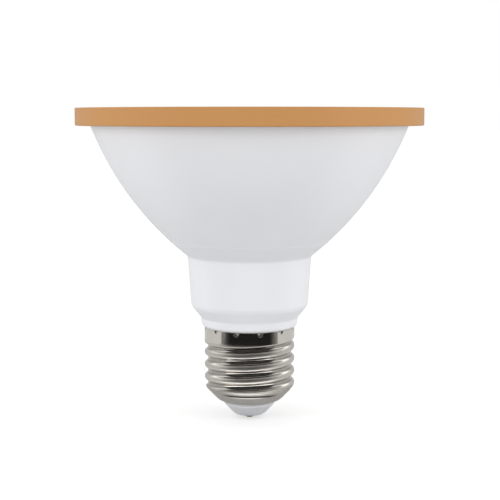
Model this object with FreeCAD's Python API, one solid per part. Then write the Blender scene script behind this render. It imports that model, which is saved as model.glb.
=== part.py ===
import FreeCAD, Part
import math
import os
from FreeCAD import Vector

# LED reflector lamp, 95 mm class with a short neck and an E27 screw base.
# Millimetres. The origin is the tip of the centre contact, the lamp's axis is Z
# and the lens looks up. The viewer of the front view stands on the -Y side.

# Screw base
thread_pitch = 3.629
thread_crest_radius = 13.15
thread_depth = 1.02
thread_root_flat = 0.72
thread_crest_flat = 0.60
thread_round = 0.16
thread_round_slope = 1.6
thread_turns = 4.5
thread_start_z = 6.93
thread_start_angle = 180.0
runout_radius = 20.0
runout_angle = 42.0
cap_sheet = 0.30
cap_skirt_height = 3.7395
cap_taper_top_z = 9.7
cap_taper_reach = 3.25
cap_knee_z = 5.6
cap_mouth_reach = 2.15
cap_mouth_z = 4.30
cap_taper_round = 1.5
cap_knee_round = 1.2
cap_lip_rise = 0.45
notch_count = 12
notch_first_angle = -106.5
notch_width = 1.7
notch_height = 1.35
notch_depth = 0.45

# Insulator and centre contact
insulator_reach = 3.45
insulator_tip_z = 0.6
insulator_top_z = 7.4
insulator_play = 0.1
contact_gap = 0.2
contact_dome = 0.45
nail_radius = 1.0
nail_head_z = 8.6

# Housing: bowl, neck, collar and spigot
bowl_curve_radius = 88.38
bowl_height = 37.53
bowl_rim_step = 2.03
bowl_spans = 4
neck_height = 14.37
neck_draft = 0.95
neck_step = 2.85
neck_step_height = 3.5
neck_corner_round = 1.2
collar_height = 3.0
collar_draft = 0.2
collar_overhang = 0.8
collar_lip_chamfer = 0.7
housing_wall = 1.8
spigot_bottom_rise = 2.3
spigot_wall = 1.4
spigot_gap = 0.23
spigot_collar_height = 1.6
wire_slot_depth = 1.0
wire_slot_width = 1.2
wire_slot_height = 5.2

# Ring, lens, gasket and the rim that carries them
ring_radius = 49.7
ring_height = 5.0
ring_wall = 2.1
ring_lip = 1.0
ring_lip_reach = 3.6
ring_edge_chamfer = 0.2
ring_gap = 0.2
snap_height = 0.8
snap_bite = 0.8
lens_thickness = 1.8
lens_gap = 0.2
lens_bevel = 0.3
gasket_thickness = 0.5
gasket_width = 1.9
rim_band_height = 2.6
rim_wall = 0.9
rim_floor = 0.8

# Heat sink
seat_rise = 4.13
platform_thickness = 3.0
heat_sink_wall = 1.5
heat_sink_gap = 0.15
heat_sink_drop = 0.4

# Light source and its holder
substrate_side = 19.0
substrate_thickness = 1.0
pad_thickness = 0.3
phosphor_margin = 2.5
phosphor_thickness = 0.6
holder_height = 3.0
holder_rim = 0.9
holder_throat_gap = 1.2
holder_flare = 1.4
holder_pocket_gap = 0.2
screw_offset = 4.0
screw_head_radius = 2.75
screw_head_height = 1.9
screw_head_gap = 0.35
screw_radius = 1.5
screw_length = 3.8
screw_floor = 1.0
screw_slot_width = 0.8
screw_slot_length = 3.0
screw_slot_depth = 0.9

# Reflector
reflector_rim_width = 1.4
reflector_rim_step = 0.12
reflector_throat_step = 0.4
reflector_wall = 1.0
reflector_lift = 0.2
reflector_rim_gap = 0.1
facets_around = 36
facets_along = 10

# Driver cavity, cover and board
cover_thickness = 1.5
cover_ledge = 1.5
cover_gap = 0.2
cover_skirt_height = 1.4
cover_skirt_wall = 0.9
board_thickness = 1.6
board_front_y = -4.2
board_side_gap = 0.55
board_tail_gap = 0.19
board_rise = 0.6
board_step_rise = 0.5
board_top_gap = 0.7
guide_overlap = 0.9
guide_thickness = 1.0
guide_gap = 0.1
guide_rise = 0.6
guide_top_gap = 0.3

# Driver parts
lead_radius = 0.3
lead_gap = 0.1
lead_past_board = 0.9
bulk_radius = 5.0
bulk_length = 13.6
bulk_x = -7.0
bulk_from_top = 14.0
bulk_lead_pitch = 4.0
output_radius = 2.5
output_length = 10.0
output_from_side = 11.3
output_from_top = 2.7
output_lead_pitch = 2.0
end_lead_reach = 0.9
core_width = 12.0
core_height = 11.4
core_depth = 5.0
core_x = 6.0
core_from_top = 16.8
core_limb = 1.8
core_centre_limb = 3.2
bobbin_wall = 0.6
bobbin_flange = 0.8
bobbin_gap = 0.1
bobbin_side = 4.0
bobbin_depth = 10.2
bobbin_pin_x = 3.0
winding_build = 1.4
winding_round = 0.9
film_width = 4.5
film_height = 9.0
film_depth = 8.0
film_round = 0.5
film_x = -3.8
film_from_foot = 10.0
film_lead_pitch = 6.0
choke_radius = 3.0
choke_length = 7.6
choke_flange = 1.2
choke_winding_radius = 2.6
choke_x = 4.0
choke_from_foot = 15.2
choke_lead_pitch = 3.0
resistor_radius = 1.3
resistor_waist_radius = 1.1
resistor_cap_length = 1.4
resistor_length = 6.4
resistor_x = -5.2
resistor_from_foot = 2.0
varistor_radius = 3.4
varistor_thickness = 3.2
varistor_x = 3.6
varistor_from_foot = 6.2
varistor_lead_pitch = 4.0
chip_standoff = 0.1
chip_leg_width = 0.42
chip_leg_reach = 1.0
chip_leg_thickness = 0.25
bridge_width = 3.9
bridge_length = 4.7
bridge_depth = 1.6
bridge_leg_pitch = 2.5
bridge_legs = 2
bridge_x = 0.0
bridge_from_foot = 10.6
ic_width = 3.9
ic_length = 4.9
ic_depth = 1.5
ic_leg_pitch = 1.27
ic_legs = 4
ic_x = -3.0
ic_from_top = 11.0
diode_width = 2.6
diode_length = 3.6
diode_depth = 2.2
diode_leg_pitch = 1.4
diode_legs = 1
diode_from_side = 6.0
diode_from_top = 10.6

# Internal leads
supply_wire_radius = 0.5
led_wire_radius = 0.6
led_wire_x = 3.0
led_wire_clear = 2.5
led_wire_from_top = 6.1
led_wire_offset_start = 2.0
led_wire_offset_end = 4.6
led_wire_landing = 1.0
wire_hole_gap = 0.5
live_wire_x = -1.2
live_wire_lap = 3.0
live_wire_rise = 2.2
live_wire_straight = 2.4
neutral_wire_lap = 4.9
bend_share = 0.3

# How far a cutting tool runs past the face that it opens
cut_past = 1.0

# Sizes that follow
thread_root_radius = thread_crest_radius - thread_depth
skirt_inner_radius = thread_crest_radius - cap_sheet
cap_knee_radius = thread_crest_radius - cap_taper_reach
cap_mouth_radius = cap_knee_radius - cap_mouth_reach
insulator_tip_radius = cap_mouth_radius - insulator_reach
contact_radius = insulator_tip_radius - contact_gap
cap_top_z = thread_start_z + thread_pitch * thread_turns + cap_skirt_height
spigot_bottom_z = cap_taper_top_z + spigot_bottom_rise
collar_foot_radius = thread_crest_radius + collar_overhang
collar_radius = collar_foot_radius + collar_draft
collar_top_z = cap_top_z + collar_height
neck_foot_radius = collar_radius + neck_step
neck_foot_z = collar_top_z + neck_step_height
neck_top_radius = neck_foot_radius + neck_draft
neck_top_z = neck_foot_z + neck_height
bowl_rim_z = neck_top_z + bowl_height
ring_top_z = bowl_rim_z + ring_height
lens_top_z = ring_top_z - ring_lip
lens_bottom_z = lens_top_z - lens_thickness
gasket_bottom_z = lens_bottom_z - gasket_thickness
ring_inner_radius = ring_radius - ring_wall
ring_window_radius = ring_inner_radius - ring_lip_reach
rim_radius = ring_inner_radius - ring_gap
bowl_rim_radius = rim_radius - bowl_rim_step
rebate_radius = rim_radius - rim_wall
lens_radius = rebate_radius - lens_gap
rim_underside_z = gasket_bottom_z - rim_floor
seat_z = neck_top_z + seat_rise
heat_sink_top_z = bowl_rim_z - heat_sink_drop
platform_top_z = seat_z + platform_thickness
substrate_bottom_z = platform_top_z + pad_thickness
substrate_top_z = substrate_bottom_z + substrate_thickness
holder_top_z = platform_top_z + holder_height
phosphor_radius = substrate_side / 2 - phosphor_margin
holder_throat_radius = phosphor_radius + holder_throat_gap
holder_mouth_radius = holder_throat_radius + holder_flare
screw_spacing = substrate_side + 2 * screw_offset
holder_radius = screw_spacing / 2 + screw_head_radius + screw_head_gap + holder_rim
reflector_throat_radius = holder_mouth_radius - reflector_throat_step
reflector_bottom_z = holder_top_z + reflector_lift
reflector_top_z = lens_bottom_z - reflector_rim_gap
cover_top_z = seat_z - cover_gap
cover_bottom_z = cover_top_z - cover_thickness
board_back_y = board_front_y - board_thickness
board_bottom_z = spigot_bottom_z + board_rise
board_step_z = neck_foot_z + board_step_rise
board_top_z = cover_bottom_z - board_top_gap
guide_bottom_z = board_step_z + guide_rise
guide_top_z = cover_bottom_z - cover_skirt_height - guide_top_gap
bulk_z = board_top_z - bulk_from_top
output_z = board_top_z - output_from_top
core_z = board_top_z - core_from_top
ic_z = board_top_z - ic_from_top
diode_z = board_top_z - diode_from_top
film_z = board_bottom_z + film_from_foot
choke_z = board_bottom_z + choke_from_foot
resistor_z = board_bottom_z + resistor_from_foot
varistor_z = board_bottom_z + varistor_from_foot
bridge_z = board_bottom_z + bridge_from_foot
led_wire_y = -substrate_side / 2 - led_wire_clear
led_wire_start_z = board_top_z - led_wire_from_top
live_wire_end_z = board_bottom_z + live_wire_lap
neutral_wire_start_z = board_bottom_z + neutral_wire_lap
neck_bore = neck_top_radius - housing_wall
cover_pocket_radius = neck_bore + cover_ledge
spigot_collar_z = cap_top_z - spigot_collar_height
sink_face_inset = housing_wall + heat_sink_gap
sink_inner_inset = sink_face_inset + heat_sink_wall
wire_hole_radius = led_wire_radius + wire_hole_gap
contact_face_z = insulator_tip_z
winding_middle_y = board_front_y + bobbin_depth / 2
spigot_radius = thread_root_radius - cap_sheet - spigot_gap
spigot_bore = spigot_radius - spigot_wall
spigot_collar_radius = skirt_inner_radius - spigot_gap
neck_foot_bore = neck_foot_radius - housing_wall
board_width = 2 * (math.sqrt(neck_foot_bore ** 2 - board_back_y ** 2) - board_side_gap)
board_tail_width = 2 * (math.sqrt(spigot_bore ** 2 - board_back_y ** 2) - board_tail_gap)
output_x = board_width / 2 - output_from_side
diode_x = board_width / 2 - diode_from_side


def arc_centre(foot, rim, radius):
    """Centre of the bowl's arc, on the axis side of its chord."""
    chord_r = rim[0] - foot[0]
    chord_z = rim[1] - foot[1]
    chord = math.hypot(chord_r, chord_z)
    reach = math.sqrt(radius ** 2 - (chord / 2) ** 2)
    centre_r = (foot[0] + rim[0]) / 2 - reach * chord_z / chord
    centre_z = (foot[1] + rim[1]) / 2 + reach * chord_r / chord
    return centre_r, centre_z


bowl_centre = arc_centre((neck_top_radius, neck_top_z), (bowl_rim_radius, bowl_rim_z), bowl_curve_radius)


def bowl_radius_at(z, inset=0.0):
    """Radius of the bowl at height z, on the surface that lies inset below the outer one."""
    reach = bowl_curve_radius - inset
    return bowl_centre[0] + math.sqrt(reach ** 2 - (z - bowl_centre[1]) ** 2)


reflector_rim_radius = bowl_radius_at(heat_sink_top_z, sink_face_inset) - reflector_rim_step
reflector_mouth_radius = reflector_rim_radius - reflector_rim_width


def point(radius, z):
    return Vector(radius, 0, z)


def straight(a, b):
    return Part.LineSegment(point(*a), point(*b)).toShape()


def bowl_arcs(z_from, z_to):
    """Arcs along the bowl's outer section between two heights."""
    edges = []
    rise = (z_to - z_from) / bowl_spans
    for index in range(bowl_spans):
        heights = [z_from + rise * (index + share) for share in (0.0, 0.5, 1.0)]
        spots = [point(bowl_radius_at(z), z) for z in heights]
        edges.append(Part.Arc(*spots).toShape())
    return edges


def bowl_chords(z_from, z_to, inset):
    """Corners of the hidden faces that follow the bowl, as a few cones."""
    corners = []
    for index in range(bowl_spans + 1):
        z = z_from + (z_to - z_from) * index / bowl_spans
        corners.append((bowl_radius_at(z, inset), z))
    return corners


def polyline(*corners):
    """Edges through corners (r, z) or (r, z, round), each round a tangent arc."""
    edges = []
    last = corners[0][:2]
    for index in range(1, len(corners) - 1):
        corner = corners[index]
        if len(corner) < 3:
            edges.append(straight(last, corner))
            last = corner
            continue
        here = point(*corner[:2])
        back = (point(*corners[index - 1][:2]) - here).normalize()
        ahead = (point(*corners[index + 1][:2]) - here).normalize()
        half = back.getAngle(ahead) / 2
        setback = corner[2] / math.tan(half)
        bisector = (back + ahead).normalize()
        start = here + back * setback
        end = here + ahead * setback
        middle = here + bisector * (corner[2] / math.sin(half) - corner[2])
        edges.append(straight(last, (start.x, start.z)))
        edges.append(Part.Arc(start, middle, end).toShape())
        last = (end.x, end.z)
    edges.append(straight(last, corners[-1][:2]))
    return edges


def turned(edges):
    """Solid made by turning a closed section about the lamp's axis."""
    face = Part.Face(Part.Wire(edges))
    solid = face.revolve(Vector(0, 0, 0), Vector(0, 0, 1), 360)
    return Part.Solid(solid)


def disc(radius, z_from, z_to, x=0.0, y=0.0):
    return Part.makeCylinder(radius, z_to - z_from, Vector(x, y, z_from))


def block(x_from, x_to, y_from, y_to, z_from, z_to):
    return Part.makeBox(x_to - x_from, y_to - y_from, z_to - z_from, Vector(x_from, y_from, z_from))


def rod_along_y(radius, x, z, y_from, y_to):
    return Part.makeCylinder(radius, y_to - y_from, Vector(x, y_from, z), Vector(0, 1, 0))


def rod_along_x(radius, x_from, x_to, y, z):
    return Part.makeCylinder(radius, x_to - x_from, Vector(x_from, y, z), Vector(1, 0, 0))


def groove_section(root_radius, root_half, knees, mouth_radius):
    """Closed section of the thread groove, mirrored about its root at z = 0."""
    upper = [(root_radius, root_half)] + knees
    upper.append((mouth_radius, knees[-1][1]))
    corners = [point(r, z) for r, z in upper]
    corners += [point(r, -z) for r, z in reversed(upper)]
    return Part.makePolygon(corners + corners[:1])


def groove_tool(section, root_radius):
    """The groove's helix and the scoop by which it runs out into the skirt."""
    lead = thread_pitch * thread_turns
    helix = Part.makeHelix(thread_pitch, lead, root_radius)
    groove = Part.Wire(helix.Edges).makePipeShell([section], True, True)
    end_angle = 360.0 * (thread_turns % 1.0)
    end = section.copy()
    end.rotate(Vector(0, 0, 0), Vector(0, 0, 1), end_angle)
    end.translate(Vector(0, 0, lead))
    outward = Vector(math.cos(math.radians(end_angle)), math.sin(math.radians(end_angle)), 0)
    pivot = outward * (root_radius - runout_radius)
    scoop = Part.Face(end).revolve(pivot, Vector(0, 0, 1), runout_angle)
    tools = [groove, scoop]
    for tool in tools:
        tool.rotate(Vector(0, 0, 0), Vector(0, 0, 1), thread_start_angle)
        tool.translate(Vector(0, 0, thread_start_z))
    return tools


def notches(grow, top_z):
    """The V notches punched round the skirt, grown by the sheet or a clearance."""
    half = notch_width / 2
    slope = math.hypot(half, notch_height)
    side = grow * slope / notch_height
    drop = grow * slope / half
    above = top_z - cap_top_z
    half_top = half + side + above * half / notch_height
    floor = thread_crest_radius - notch_depth - grow
    mouth = thread_crest_radius + cut_past
    corners = [
        Vector(floor, -half_top, top_z),
        Vector(floor, half_top, top_z),
        Vector(floor, 0, cap_top_z - notch_height - drop),
    ]
    wedge = Part.Face(Part.makePolygon(corners + corners[:1])).extrude(Vector(mouth - floor, 0, 0))
    copies = []
    for index in range(notch_count):
        copy = wedge.copy()
        copy.rotate(Vector(0, 0, 0), Vector(0, 0, 1), notch_first_angle + 360.0 * index / notch_count)
        copies.append(copy)
    return copies


def cap_shell():
    """Rolled sheet: both faces carry the thread, a sheet's thickness apart."""
    crest_half = (thread_pitch - thread_crest_flat) / 2
    root_half = thread_root_flat / 2
    far_radius = thread_crest_radius + thread_depth
    knee = (thread_crest_radius - thread_round, crest_half - thread_round_slope * thread_round)
    mouth = (thread_crest_radius + thread_round, crest_half + thread_round_slope * thread_round)
    outer_section = groove_section(thread_root_radius, root_half, [knee, mouth], far_radius)
    flank_r = knee[0] - thread_root_radius
    flank_z = knee[1] - root_half
    flank = math.hypot(flank_r, flank_z)
    inner_root = thread_root_radius - cap_sheet
    shift = cap_sheet * flank / flank_r
    slope = flank_z / flank_r
    inner_half = root_half + shift - cap_sheet * slope
    inner_mouth = skirt_inner_radius + thread_round
    inner_section = groove_section(
        inner_root, inner_half, [(inner_mouth, inner_half + (inner_mouth - inner_root) * slope)], far_radius)

    outer = turned(polyline(
        (0, cap_top_z),
        (thread_crest_radius, cap_top_z),
        (thread_crest_radius, cap_taper_top_z, cap_taper_round),
        (cap_knee_radius, cap_knee_z, cap_knee_round),
        (cap_mouth_radius, cap_mouth_z),
        (0, cap_mouth_z),
        (0, cap_top_z)))
    taper = math.atan2(cap_taper_top_z - cap_knee_z, thread_crest_radius - cap_knee_radius)
    step = cap_sheet * math.tan(taper / 2)
    inner = turned(polyline(
        (0, cap_top_z + cut_past),
        (skirt_inner_radius, cap_top_z + cut_past),
        (skirt_inner_radius, cap_taper_top_z + step, cap_taper_round - cap_sheet),
        (cap_knee_radius - step, cap_knee_z + cap_sheet, cap_knee_round - cap_sheet),
        (cap_mouth_radius, cap_mouth_z + cap_lip_rise),
        (cap_mouth_radius, cap_mouth_z - cut_past),
        (0, cap_mouth_z - cut_past),
        (0, cap_top_z + cut_past)))
    for tool in groove_tool(outer_section, thread_root_radius):
        outer = outer.cut(tool)
    for tool in groove_tool(inner_section, inner_root):
        inner = inner.cut(tool)
    outer = outer.cut(notches(0.0, cap_top_z + cut_past))
    inner = inner.cut(notches(cap_sheet, cap_top_z + 2 * cut_past))
    return outer.cut(inner)


def housing():
    """One white moulding: spigot, collar, neck, bowl and the rim that carries the lens."""
    rim_top_z = rim_underside_z + rim_band_height
    outside = polyline(
        (spigot_bore, spigot_bottom_z),
        (spigot_radius, spigot_bottom_z),
        (spigot_radius, spigot_collar_z),
        (spigot_collar_radius, spigot_collar_z),
        (spigot_collar_radius, cap_top_z),
        (collar_foot_radius - collar_lip_chamfer, cap_top_z),
        (collar_foot_radius, cap_top_z + collar_lip_chamfer),
        (collar_radius, collar_top_z),
        (neck_foot_radius, neck_foot_z, neck_corner_round),
        (neck_top_radius, neck_top_z))
    outside += bowl_arcs(neck_top_z, rim_underside_z)
    rim_and_inside = polyline(
        (bowl_radius_at(rim_underside_z), rim_underside_z),
        (rim_radius, rim_underside_z),
        (rim_radius, rim_top_z),
        (rebate_radius, rim_top_z),
        (rebate_radius, gasket_bottom_z),
        (bowl_radius_at(gasket_bottom_z, housing_wall), gasket_bottom_z),
        *bowl_chords(heat_sink_top_z, seat_z, housing_wall),
        (cover_pocket_radius, seat_z),
        (cover_pocket_radius, cover_bottom_z),
        (neck_bore, cover_bottom_z),
        (neck_bore, neck_top_z),
        (neck_foot_radius - housing_wall, neck_foot_z + housing_wall / 3),
        (collar_radius - housing_wall, collar_top_z + housing_wall / 3),
        (spigot_bore, collar_top_z - housing_wall / 2),
        (spigot_bore, spigot_bottom_z))
    body = turned(outside + rim_and_inside)
    body = body.fuse(board_guides())
    body = body.cut(notches(cap_sheet + spigot_gap, cap_top_z))
    slot = block(
        -wire_slot_width / 2, wire_slot_width / 2,
        -thread_crest_radius, wire_slot_depth - spigot_radius,
        spigot_bottom_z - cut_past, spigot_bottom_z + wire_slot_height)
    return body.cut(slot)


def board_guides():
    """Pairs of ribs inside the neck between which the board's edges slide in."""
    middle = housing_wall / 2
    core = turned(polyline(
        (0, guide_bottom_z),
        (neck_foot_radius - middle, guide_bottom_z),
        (neck_top_radius - middle, guide_top_z),
        (0, guide_top_z),
        (0, guide_bottom_z)))
    reach = board_width / 2 - guide_overlap
    ribs = []
    for y_from in (board_front_y + guide_gap, board_back_y - guide_gap - guide_thickness):
        for side in (-1, 1):
            x_ends = sorted((side * reach, side * neck_top_radius))
            rib = block(x_ends[0], x_ends[1], y_from, y_from + guide_thickness, guide_bottom_z, guide_top_z)
            ribs.append(rib.common(core))
    return ribs


def front_ring():
    """Tan ring: wall, lip over the lens and a bead that snaps under the housing's rim."""
    bead_radius = rim_radius - snap_bite
    return turned(polyline(
        (bead_radius, bowl_rim_z),
        (ring_radius - ring_edge_chamfer, bowl_rim_z),
        (ring_radius, bowl_rim_z + ring_edge_chamfer),
        (ring_radius, ring_top_z - ring_edge_chamfer),
        (ring_radius - ring_edge_chamfer, ring_top_z),
        (ring_window_radius + ring_edge_chamfer, ring_top_z),
        (ring_window_radius, ring_top_z - ring_edge_chamfer),
        (ring_window_radius, lens_top_z),
        (ring_inner_radius, lens_top_z),
        (ring_inner_radius, bowl_rim_z + snap_height),
        (bead_radius, bowl_rim_z + snap_height),
        (bead_radius, bowl_rim_z)))


def lens():
    edge = lens_radius - lens_bevel
    return turned(polyline(
        (0, lens_bottom_z),
        (edge, lens_bottom_z),
        (lens_radius, lens_bottom_z + lens_bevel),
        (lens_radius, lens_top_z - lens_bevel),
        (edge, lens_top_z),
        (0, lens_top_z),
        (0, lens_bottom_z)))


def lens_gasket():
    outer = disc(lens_radius, gasket_bottom_z, lens_bottom_z)
    return outer.cut(disc(lens_radius - gasket_width, gasket_bottom_z, lens_bottom_z))


def heat_sink():
    """Aluminium insert: a platform for the light source and a wall that backs the bowl."""
    inner_face = bowl_chords(heat_sink_top_z, seat_z, sink_inner_inset)
    inner_face[-1] = (bowl_radius_at(platform_top_z, sink_inner_inset), platform_top_z)
    body = turned(polyline(
        (0, seat_z),
        *bowl_chords(seat_z, heat_sink_top_z, sink_face_inset),
        *inner_face,
        (0, platform_top_z),
        (0, seat_z)))
    for side in (-1, 1):
        body = body.cut(disc(wire_hole_radius, seat_z, platform_top_z, side * led_wire_x, led_wire_y))
        body = body.cut(disc(screw_radius, seat_z, platform_top_z, side * screw_spacing / 2))
    return body


def reflector_height(radius):
    """Height of the bright face at a radius: a parabola from throat to mouth."""
    depth = reflector_top_z - reflector_bottom_z
    spread = reflector_mouth_radius ** 2 - reflector_throat_radius ** 2
    return reflector_bottom_z + depth * (radius ** 2 - reflector_throat_radius ** 2) / spread


def facet_ring(radius, z):
    corners = []
    for index in range(facets_around):
        angle = 2 * math.pi * index / facets_around
        corners.append(Vector(radius * math.cos(angle), radius * math.sin(angle), z))
    return corners


def facet_band(lower, upper):
    faces = []
    for index in range(facets_around):
        after = (index + 1) % facets_around
        corners = [lower[index], lower[after], upper[after], upper[index], lower[index]]
        faces.append(Part.Face(Part.makePolygon(corners)))
    return faces


def reflector():
    """Moulded cup whose bright side is rows of flat facets on a parabola."""
    step = (reflector_mouth_radius - reflector_throat_radius) / facets_along
    radii = [reflector_throat_radius + step * index for index in range(facets_along + 1)]
    rings = [facet_ring(reflector_throat_radius, reflector_bottom_z - cut_past)]
    rings += [facet_ring(radius, reflector_height(radius)) for radius in radii]
    rings.append(facet_ring(reflector_mouth_radius, reflector_top_z + cut_past))
    faces = []
    for lower, upper in zip(rings, rings[1:]):
        faces += facet_band(lower, upper)
    for ring in (rings[0], rings[-1]):
        faces.append(Part.Face(Part.makePolygon(ring + ring[:1])))
    light_space = Part.Solid(Part.Shell(faces))

    back = []
    slope_scale = 2 * (reflector_height(1.0) - reflector_height(0.0))
    for radius in radii[1::2]:
        slope = slope_scale * radius
        length = math.hypot(1.0, slope)
        back_radius = radius + reflector_wall * slope / length
        back.append((back_radius, reflector_height(radius) - reflector_wall / length))
    back = [spot for spot in back if spot[1] < heat_sink_top_z - reflector_wall]
    top_slope = slope_scale * reflector_mouth_radius
    top_back = reflector_mouth_radius + reflector_wall * math.hypot(1.0, top_slope) / top_slope
    neck_radius = top_back - (reflector_top_z - heat_sink_top_z) / top_slope
    body = turned(polyline(
        (0, reflector_bottom_z),
        (back[0][0], reflector_bottom_z),
        *back,
        (neck_radius, heat_sink_top_z),
        (reflector_rim_radius, heat_sink_top_z),
        (reflector_rim_radius, reflector_top_z),
        (0, reflector_top_z),
        (0, reflector_bottom_z)))
    return body.cut(light_space)


def thermal_pad():
    half = substrate_side / 2
    return block(-half, half, -half, half, platform_top_z, substrate_bottom_z)


def cob_substrate():
    half = substrate_side / 2
    return block(-half, half, -half, half, substrate_bottom_z, substrate_top_z)


def cob_phosphor():
    return disc(phosphor_radius, substrate_top_z, substrate_top_z + phosphor_thickness)


def cob_holder():
    """White frame that presses the plate down: pocket, flared window, screw recesses, lead slots."""
    body = disc(holder_radius, platform_top_z, holder_top_z)
    half = substrate_side / 2 + holder_pocket_gap
    body = body.cut(block(-half, half, -half, half, platform_top_z, substrate_top_z))
    flare_height = holder_top_z - substrate_top_z
    flare_foot = Vector(0, 0, substrate_top_z)
    body = body.cut(Part.makeCone(holder_throat_radius, holder_mouth_radius, flare_height, flare_foot))
    recess_z = platform_top_z + screw_floor
    for side in (-1, 1):
        x = side * screw_spacing / 2
        body = body.cut(disc(screw_head_radius + screw_head_gap, recess_z, holder_top_z, x))
        body = body.cut(disc(screw_radius + lead_gap, platform_top_z, holder_top_z, x))
        slot = block(
            side * led_wire_x - wire_hole_radius, side * led_wire_x + wire_hole_radius,
            led_wire_y - wire_hole_radius, 0, platform_top_z, holder_top_z)
        body = body.cut(slot)
    return body


def holder_screws():
    """Two pan-head screws, as one group of two solids."""
    seat = platform_top_z + screw_floor
    screws = []
    for side in (-1, 1):
        x = side * screw_spacing / 2
        screw = disc(screw_head_radius, seat, seat + screw_head_height, x)
        screw = screw.fuse(disc(screw_radius, seat - screw_length, seat, x))
        half_length = screw_slot_length / 2
        half_width = screw_slot_width / 2
        slot_z = seat + screw_head_height - screw_slot_depth
        top_z = seat + screw_head_height
        screw = screw.cut(block(x - half_length, x + half_length, -half_width, half_width, slot_z, top_z))
        screw = screw.cut(block(x - half_width, x + half_width, -half_length, half_length, slot_z, top_z))
        screws.append(screw)
    return Part.makeCompound(screws)


def driver_cover():
    """Insulating lid of the driver space, with a skirt that centres it in the neck."""
    lid = disc(cover_pocket_radius - cover_gap, cover_bottom_z, cover_top_z)
    skirt_radius = neck_bore - cover_gap
    skirt_foot_z = cover_bottom_z - cover_skirt_height
    skirt = disc(skirt_radius, skirt_foot_z, cover_bottom_z)
    skirt = skirt.cut(disc(skirt_radius - cover_skirt_wall, skirt_foot_z, cover_bottom_z))
    lid = lid.fuse(skirt)
    for side in (-1, 1):
        lid = lid.cut(disc(wire_hole_radius, cover_bottom_z, cover_top_z, side * led_wire_x, led_wire_y))
    return lid


def bulk_lead_spots():
    z = bulk_z - end_lead_reach
    return [(bulk_x - bulk_lead_pitch / 2, z), (bulk_x + bulk_lead_pitch / 2, z)]


def output_lead_spots():
    x = output_x - end_lead_reach
    return [(x, output_z - output_lead_pitch / 2), (x, output_z + output_lead_pitch / 2)]


def bobbin_pin_spots():
    z_low = core_z + core_limb + bobbin_flange / 2
    z_high = core_z + core_height - core_limb - bobbin_flange / 2
    return [(core_x + side * bobbin_pin_x, z) for side in (-1, 1) for z in (z_low, z_high)]


def film_lead_spots():
    middle = film_z + film_height / 2
    return [(film_x, middle - film_lead_pitch / 2), (film_x, middle + film_lead_pitch / 2)]


def choke_lead_spots():
    return [(choke_x - choke_lead_pitch / 2, choke_z), (choke_x + choke_lead_pitch / 2, choke_z)]


def resistor_lead_spots():
    high_z = resistor_z + resistor_length + end_lead_reach
    return [(resistor_x, resistor_z - end_lead_reach), (resistor_x, high_z)]


def varistor_lead_spots():
    half = varistor_lead_pitch / 2
    return [(varistor_x - half, varistor_z), (varistor_x + half, varistor_z)]


def driver_board():
    """Stepped board: wide in the neck, narrow in the spigot, drilled for every lead."""
    half = board_width / 2
    tail_half = board_tail_width / 2
    corners = [
        Vector(-tail_half, board_back_y, board_bottom_z),
        Vector(tail_half, board_back_y, board_bottom_z),
        Vector(tail_half, board_back_y, board_step_z),
        Vector(half, board_back_y, board_step_z),
        Vector(half, board_back_y, board_top_z),
        Vector(-half, board_back_y, board_top_z),
        Vector(-half, board_back_y, board_step_z),
        Vector(-tail_half, board_back_y, board_step_z),
    ]
    board = Part.Face(Part.makePolygon(corners + corners[:1])).extrude(Vector(0, board_thickness, 0))
    spots = bulk_lead_spots() + output_lead_spots() + bobbin_pin_spots() + film_lead_spots()
    spots += choke_lead_spots() + resistor_lead_spots() + varistor_lead_spots()
    holes = [rod_along_y(lead_radius + lead_gap, x, z, board_back_y, board_front_y) for x, z in spots]
    return board.cut(holes)


def mitred_tube(points, radius):
    """Round rod along straight runs, with a mitre at each corner."""
    section = Part.Wire(Part.makeCircle(radius, points[0], points[1] - points[0]))
    mitre = 1
    return Part.makePolygon(points).makePipeShell([section], True, False, mitre)


def with_leads(body, spots, root_y):
    """Body with straight leads that run from root_y through the board."""
    leads = [rod_along_y(lead_radius, x, z, board_back_y - lead_past_board, root_y) for x, z in spots]
    return body.fuse(leads)


def bulk_capacitor():
    """Can that lies along the board; its two leads leave the lower end and turn into the board."""
    y = board_front_y + bulk_radius
    can = Part.makeCylinder(bulk_radius, bulk_length, Vector(bulk_x, y, bulk_z))
    spots = bulk_lead_spots()
    for x, z in spots:
        can = can.fuse(disc(lead_radius, z, bulk_z, x, y))
    return with_leads(can, spots, y + lead_radius)


def output_capacitor():
    """Small can that lies across the board's upper end."""
    y = board_front_y + output_radius
    can = rod_along_x(output_radius, output_x, output_x + output_length, y, output_z)
    spots = output_lead_spots()
    for x, z in spots:
        can = can.fuse(rod_along_x(lead_radius, x, output_x, y, z))
    return with_leads(can, spots, y + lead_radius)


def transformer_core():
    """Ferrite frame with a centre limb."""
    half = core_width / 2
    depth = core_depth / 2
    body = block(
        core_x - half, core_x + half, winding_middle_y - depth, winding_middle_y + depth,
        core_z, core_z + core_height)
    limb = core_centre_limb / 2
    for side in (-1, 1):
        x_ends = sorted((core_x + side * limb, core_x + side * (half - core_limb)))
        window = block(
            x_ends[0], x_ends[1], winding_middle_y - depth, winding_middle_y + depth,
            core_z + core_limb, core_z + core_height - core_limb)
        body = body.cut(window)
    return body


def centred_block(half_x, half_y, z_from, z_to):
    return block(
        core_x - half_x, core_x + half_x, winding_middle_y - half_y, winding_middle_y + half_y, z_from, z_to)


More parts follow.
